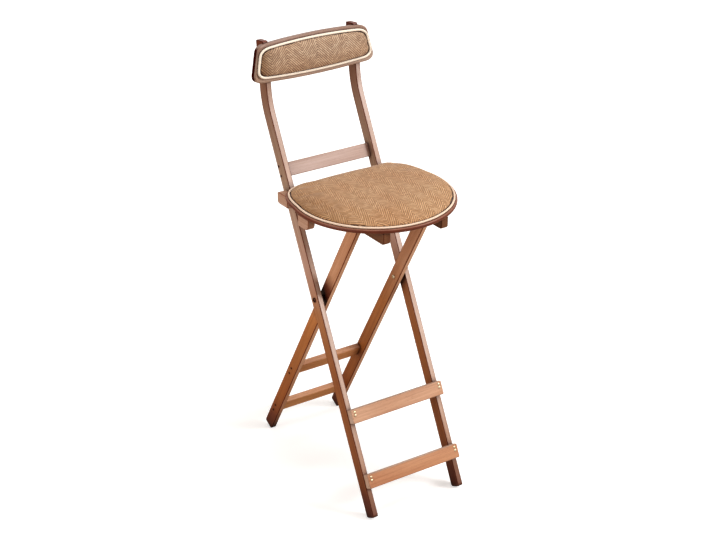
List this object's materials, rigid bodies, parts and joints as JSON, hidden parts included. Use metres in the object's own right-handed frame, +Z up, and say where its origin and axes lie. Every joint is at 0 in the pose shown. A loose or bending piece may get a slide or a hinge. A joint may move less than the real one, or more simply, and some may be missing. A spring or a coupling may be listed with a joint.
{
  "type": "folding bar stool",
  "caption": "Tall folding bar stool with a crossed timber frame, footrest rungs, a round-fronted cushioned seat and a padded low backrest.",
  "frame": {"origin": "middle of the bounding box on the floor", "axes": "+Z up, the seated user faces -Y, +X to the left-hand side of a seated user"},
  "size_m": [0.3962, 0.5414, 1.0842],
  "materials": {
    "rail_wood": "satin lacquer, stained mid brown",
    "leg_wood": "satin lacquer, stained red brown",
    "board_wood": "satin lacquer, stained mid brown",
    "weave": "herringbone weave in tan and brown",
    "piping": "cream covered cord",
    "hardware": "dulled steel"
  },
  "bodies": {
    "rail_frame": {"left_long_rail": "rail_wood", "right_long_rail": "rail_wood", "upper_front_rung": "rail_wood", "lower_front_rung": "rail_wood", "left_upper_front_rung_screw_upper": "hardware", "left_upper_front_rung_screw_lower": "hardware", "left_lower_front_rung_screw_upper": "hardware", "left_lower_front_rung_screw_lower": "hardware", "right_upper_front_rung_screw_upper": "hardware", "right_upper_front_rung_screw_lower": "hardware", "right_lower_front_rung_screw_upper": "hardware", "right_lower_front_rung_screw_lower": "hardware", "back_slat": "rail_wood", "left_back_slat_screw_upper": "hardware", "left_back_slat_screw_lower": "hardware", "right_back_slat_screw_upper": "hardware", "right_back_slat_screw_lower": "hardware", "backrest_board": "board_wood", "backrest_pad": "weave", "backrest_piping": "piping", "left_backrest_screw_upper": "hardware", "left_backrest_screw_lower": "hardware", "right_backrest_screw_upper": "hardware", "right_backrest_screw_lower": "hardware", "left_cross_bolt": "hardware", "right_cross_bolt": "hardware", "left_cross_sleeve": "hardware", "right_cross_sleeve": "hardware", "left_cross_nut": "hardware", "right_cross_nut": "hardware", "left_seat_support_pin": "hardware", "right_seat_support_pin": "hardware"},
    "rear_legs": {"left_rear_leg": "leg_wood", "right_rear_leg": "leg_wood", "upper_rear_rung": "leg_wood", "lower_rear_rung": "leg_wood", "left_upper_rear_rung_screw_upper": "hardware", "left_upper_rear_rung_screw_lower": "hardware", "left_lower_rear_rung_screw_upper": "hardware", "left_lower_rear_rung_screw_lower": "hardware", "right_upper_rear_rung_screw_upper": "hardware", "right_upper_rear_rung_screw_lower": "hardware", "right_lower_rear_rung_screw_upper": "hardware", "right_lower_rear_rung_screw_lower": "hardware"},
    "seat": {"seat_board": "board_wood", "seat_cushion": "weave", "seat_piping": "piping", "left_seat_batten": "leg_wood", "right_seat_batten": "leg_wood", "left_rear_seat_block": "leg_wood", "right_rear_seat_block": "leg_wood", "left_front_seat_block": "leg_wood", "right_front_seat_block": "leg_wood", "left_seat_bolt": "hardware", "right_seat_bolt": "hardware", "left_seat_sleeve": "hardware", "right_seat_sleeve": "hardware", "left_seat_nut": "hardware", "right_seat_nut": "hardware"}
  },
  "joints": [
    {"name": "leg_fold", "type": "hinge", "parent": "rail_frame", "child": "rear_legs", "pos_m": [0, -0.01238, 0.4938], "axis": [-1, 0, 0], "range_deg": [0, 55]},
    {"name": "seat_fold", "type": "hinge", "parent": "rear_legs", "child": "seat", "pos_m": [0, -0.13861, 0.7219], "axis": [1, 0, 0], "range_deg": [0, 117.7]}
  ],
  "couplings": [
    {"joint": "seat_fold", "follows": "leg_fold", "ratio": 2.1396}
  ]
}
